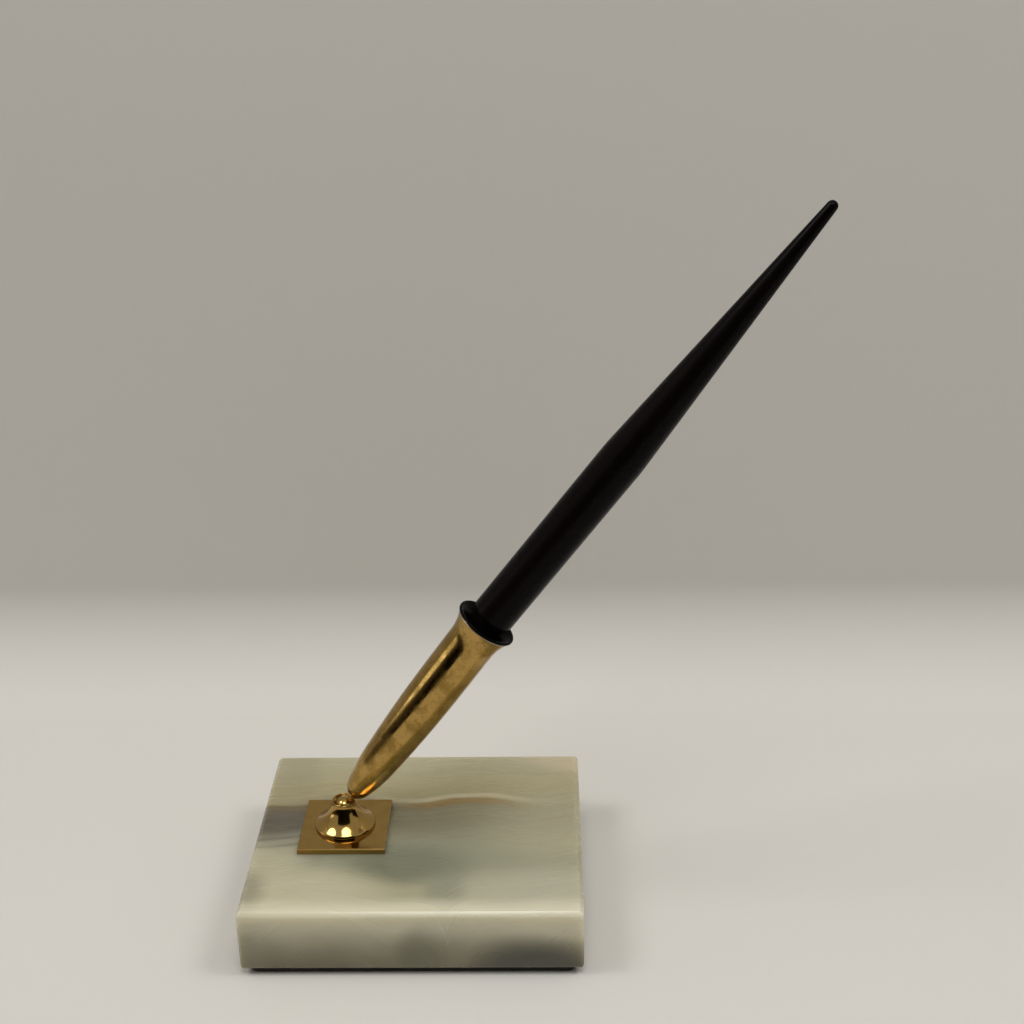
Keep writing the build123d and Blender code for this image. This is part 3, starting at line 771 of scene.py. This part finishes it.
class PENSTAND_OT_pen(bpy.types.Operator):
    """Turn the pen's tapered barrel and its section, and finish the nib, feed and cartridge"""

    bl_idname = "pen_stand.pen"
    bl_label = "Desk Pen"

    def execute(self, context):
        tip = max((v.co.copy() for v in frame["nodes"]["pen_barrel"].data.vertices), key=PEN_AXIS.dot)
        barrel = turned("barrel_turned", "pen_barrel", tip, PEN_AXIS)
        place(barrel, "pen", "pen_plastic", "pen_barrel")
        section = turned("section_turned", "pen_section", tip, PEN_AXIS)
        place(section, "pen", "pen_plastic", "pen_section")
        dress("pen_feed", "pen_nib", "ink_cartridge")
        return {"FINISHED"}


class PENSTAND_OT_hardware(bpy.types.Operator):
    """Finish the hidden cup, spring, plug, washers and nuts"""

    bl_idname = "pen_stand.hardware"
    bl_label = "Hidden Hardware"

    def execute(self, context):
        dress("friction_cup", "friction_spring", "spring_plug")
        dress("clamp_washer", "lock_washer", "clamp_nut", "stem_washer", "stem_nut")
        return {"FINISHED"}


def one_sided(tree, seen, hidden):
    """A surface with one shader on its front and another on its back."""
    back = node(tree, "ShaderNodeNewGeometry").outputs["Backfacing"]
    return node(tree, "ShaderNodeMixShader", {0: back, 1: seen, 2: hidden}).outputs[0]


def paper_material(stage):
    """Seamless paper, matt: pale and even, with a trace of its pulp."""
    made, tree, surface = material("paper_seamless_matt")
    flecks_per_mm = 0.8
    pulp = node(
        tree, "ShaderNodeTexNoise", {"Vector": in_millimetres(tree), "Scale": flecks_per_mm, "Detail": 3.0}
    ).outputs["Fac"]
    tone = node(
        tree, "ShaderNodeMapRange", {"Value": pulp, "To Min": 0.985, "To Max": 1.0}
    ).outputs["Result"]
    paper = node(
        tree, "ShaderNodeVectorMath", {0: tuple(stage.floor), 1: tone}, operation="MULTIPLY"
    ).outputs[0]
    matt = node(
        tree, "ShaderNodeBsdfPrincipled", {"Base Color": paper, "Roughness": 0.9, "Specular IOR Level": 0.2}
    ).outputs["BSDF"]
    clear = node(tree, "ShaderNodeBsdfTransparent").outputs["BSDF"]
    # The backdrop is seen from its front only, so that it hides nothing from a view from behind.
    tree.links.new(one_sided(tree, matt, clear), surface)
    return made


def card_material():
    """Matt card, near black, that stands in for the dim room the metal mirrors, and paler towards the far left as
    painted light of the room on that side.
    """
    made, tree, surface = material("card_black")
    # Painted light: the card grows paler towards the far left, where the room that it stands for is lighter.
    light_starts, light_full = -0.8, -1.6
    along = node(
        tree, "ShaderNodeSeparateXYZ", {0: node(tree, "ShaderNodeTexCoord").outputs["Object"]}
    ).outputs["X"]
    lighter = node(
        tree, "ShaderNodeMapRange", {"Value": along, "From Min": light_starts, "From Max": light_full}
    ).outputs["Result"]
    shade = node(
        tree, "ShaderNodeMix", {"Factor": lighter, 6: opaque(linear("#171310")), 7: opaque(linear("#85796A"))},
        data_type="RGBA",
    ).outputs[2]
    black = node(tree, "ShaderNodeBsdfDiffuse", {"Color": shade}).outputs["BSDF"]
    clear = node(tree, "ShaderNodeBsdfTransparent").outputs["BSDF"]
    # Each card's back is turned to the object, and its front lets light through to the floor.
    tree.links.new(one_sided(tree, clear, black), surface)
    return made


def stage_piece(name, points, faces, finish):
    """A piece of the stage, made from its corners."""
    mesh = bpy.data.meshes.new(name)
    mesh.from_pydata(points, [], faces)
    mesh.materials.append(finish)
    made = bpy.data.objects.new(name, mesh)
    bpy.context.scene.collection.objects.link(made)
    return made


def softbox(name, power, shape, size, spot, aim, mirrored=True):
    """An area light aimed at a point, which the metal mirrors or not."""
    lamp = bpy.data.lights.new(name, "AREA")
    lamp.shape, lamp.energy = shape, power
    lamp.size, lamp.size_y = size
    made = bpy.data.objects.new(name, lamp)
    made.matrix_world = Matrix.Translation(spot) @ (
        Vector(aim) - Vector(spot)
    ).to_track_quat("-Z", "Y").to_matrix().to_4x4()
    made.visible_camera = False
    made.visible_glossy = mirrored
    bpy.context.scene.collection.objects.link(made)


class PENSTAND_OT_stage(bpy.types.Operator):
    """Lay the seamless floor and backdrop, hang the lights and set the camera"""

    bl_idname = "pen_stand.stage"
    bl_label = "Stage"

    def execute(self, context):
        stage = context.scene.pen_stand_stage
        self.lay_floor(stage)
        self.hang_lights(context.scene, stage)
        self.stand_cards()
        self.set_camera(context.scene, stage)
        context.scene.view_settings.view_transform = "Standard"
        return {"FINISHED"}

    def lay_floor(self, stage):
        sweep_start, sweep_radius, sweep_steps, wide, front, tall = 0.088, 0.03, 24, 3.0, -3.0, 1.6
        arc = [
            (sweep_start + sweep_radius * math.sin(a), sweep_radius * (1 - math.cos(a)))
            for a in (math.pi / 2 * i / sweep_steps for i in range(sweep_steps + 1))
        ]
        line = [(front, 0.0), *arc, (arc[-1][0], tall)]
        points = [(x, y, z) for y, z in line for x in (-wide, wide)]
        faces = [(2 * i, 2 * i + 1, 2 * i + 3, 2 * i + 2) for i in range(len(line) - 1)]
        floor = stage_piece("floor", points, faces, paper_material(stage))
        floor.data.polygons.foreach_set("use_smooth", [True] * len(faces))

    def hang_lights(self, scene, stage):
        world = bpy.data.worlds.new("soft_room")
        scene.world = world
        world.use_nodes = True
        background = world.node_tree.nodes["Background"]
        background.inputs["Color"].default_value = opaque(stage.surround)
        background.inputs["Strength"].default_value = 1.0
        for name, spot, mirrored in (
            ("key_front", (0.05, -0.45, 1.1), True), ("key_left", (-0.75, -0.15, 1.1), True),
            ("key_right", (0.7, -0.1, 1.1), False),
        ):
            softbox(name, stage.key, "DISK", (0.5, 0.5), spot, (0, 0, 0), mirrored)
        softbox("strip_left", stage.strip, "RECTANGLE", (0.8, 0.22), (-1.5, -0.05, 0.25), (0, 0, 0.05))

    def stand_cards(self):
        # Dark cards that only the metal and the pen mirror: one that lies in front of the object and to its left,
        # a low wall before it, that wall's left and right sides, and a taller stretch in the wall's middle.
        cards = (
            ((-1.7, 0.2, 0), (-1.25, 0.195, 0), (-0.8, -0.017, 0), (0.44, -0.6, 0), (-0.9, -0.6, 0)),
            ((-0.9, -0.6, 0), (1.2, -0.6, 0), (1.2, -0.6, 0.25), (-0.9, -0.6, 0.25)),
            ((-1.7, 0.2, 0), (-0.9, -0.6, 0), (-0.9, -0.6, 0.25), (-1.7, 0.2, 0.14)),
            ((1.2, -0.6, 0), (1.2, 0.118, 0), (1.2, 0.118, 0.5), (1.2, -0.6, 0.5)),
            ((-0.55, -0.58, 0), (0.5, -0.58, 0), (0.45, -0.58, 0.68), (-0.5, -0.58, 0.68)),
        )
        points, faces = [], []
        for card in cards:
            faces.append(tuple(range(len(points), len(points) + len(card))))
            points += [(x, y, z + MM) for x, y, z in card]
        room = stage_piece("dark_room", points, faces, card_material())
        room.visible_camera = room.visible_shadow = False

    def set_camera(self, scene, stage):
        lens = bpy.data.cameras.new("camera")
        lens.sensor_width = 36.0
        lens.lens = stage.lens
        lens.clip_start, lens.clip_end = 0.01, 20
        camera = bpy.data.objects.new("camera", lens)
        pitch, yaw, roll = (math.radians(a) for a in (23.4546, -1.3265, -1.0459))
        camera.matrix_world = (
            Matrix.Translation((0.032838, -0.330410, 0.249613))
            @ Matrix.Rotation(-yaw, 4, "Z") @ Matrix.Rotation(math.pi / 2 - pitch, 4, "X")
            @ Matrix.Rotation(roll, 4, "Z")
        )
        scene.collection.objects.link(camera)
        scene.camera = camera


OPERATORS = (
    PENSTAND_OT_slab, PENSTAND_OT_pad, PENSTAND_OT_swivel, PENSTAND_OT_trumpet, PENSTAND_OT_pen,
    PENSTAND_OT_hardware, PENSTAND_OT_stage,
)


class PENSTAND_PT_panel(bpy.types.Panel):
    """Lists the pieces in the order in which they are made"""

    bl_idname = "PENSTAND_PT_panel"
    bl_label = "Pen Stand"
    bl_space_type = "VIEW_3D"
    bl_region_type = "UI"
    bl_category = "Pen Stand"

    def draw(self, context):
        for operator in OPERATORS:
            self.layout.operator(operator.bl_idname)
        for group in (
            context.scene.pen_stand_sizes, context.scene.pen_stand_finishes, context.scene.pen_stand_stage
        ):
            column = self.layout.column()
            for name in group.__annotations__:
                column.prop(group, name)


GROUPS = {
    "pen_stand_sizes": PenStandSizes, "pen_stand_finishes": PenStandFinishes, "pen_stand_stage": PenStandStage
}


def register():
    """Adds the groups, operators and panel to Blender."""
    for made in (*GROUPS.values(), *OPERATORS, PENSTAND_PT_panel):
        bpy.utils.register_class(made)
    for name, group in GROUPS.items():
        setattr(bpy.types.Scene, name, PointerProperty(type=group))


def unregister():
    """Takes them out again, in the other order."""
    for name in GROUPS:
        delattr(bpy.types.Scene, name)
    for made in (PENSTAND_PT_panel, *reversed(OPERATORS), *reversed(GROUPS.values())):
        bpy.utils.unregister_class(made)


def main():
    """Makes the pieces in order."""
    register()
    bpy.ops.pen_stand.slab()
    bpy.ops.pen_stand.pad()
    bpy.ops.pen_stand.swivel()
    bpy.ops.pen_stand.trumpet()
    bpy.ops.pen_stand.pen()
    bpy.ops.pen_stand.hardware()
    bpy.ops.pen_stand.stage()


if __name__ == "__main__":
    main()
